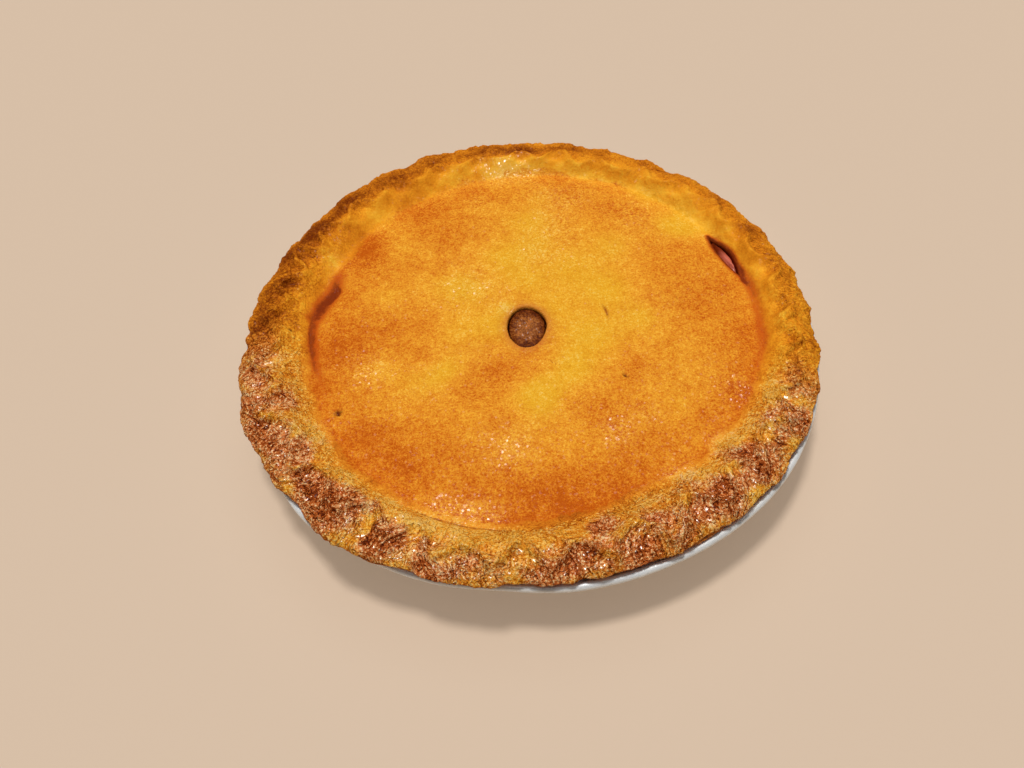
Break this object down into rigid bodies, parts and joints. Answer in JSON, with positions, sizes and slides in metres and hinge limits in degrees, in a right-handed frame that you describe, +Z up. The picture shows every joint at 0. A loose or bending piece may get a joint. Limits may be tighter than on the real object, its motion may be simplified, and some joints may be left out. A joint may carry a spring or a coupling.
{
  "type": "apple pie",
  "caption": "Round double-crust apple pie in a rolled-edge foil tin, with a domed lid, a centre vent, a side slit and a crimped browned rim.",
  "frame": {"origin": "centre of the tin's flat underside, where the pie rests", "axes": "+Z up through the lid; -Y towards the side shown nearest, +X towards the slit in the lid"},
  "size_m": [0.241, 0.24, 0.0385],
  "materials": {
    "foil": "satin",
    "lower_pastry": "matte",
    "apple_filling": "gloss",
    "glazed_pastry": "satin"
  },
  "bodies": {
    "root": {"foil_tin": "foil", "base_crust": "lower_pastry", "filling": "apple_filling", "top_crust": "glazed_pastry"}
  },
  "joints": []
}
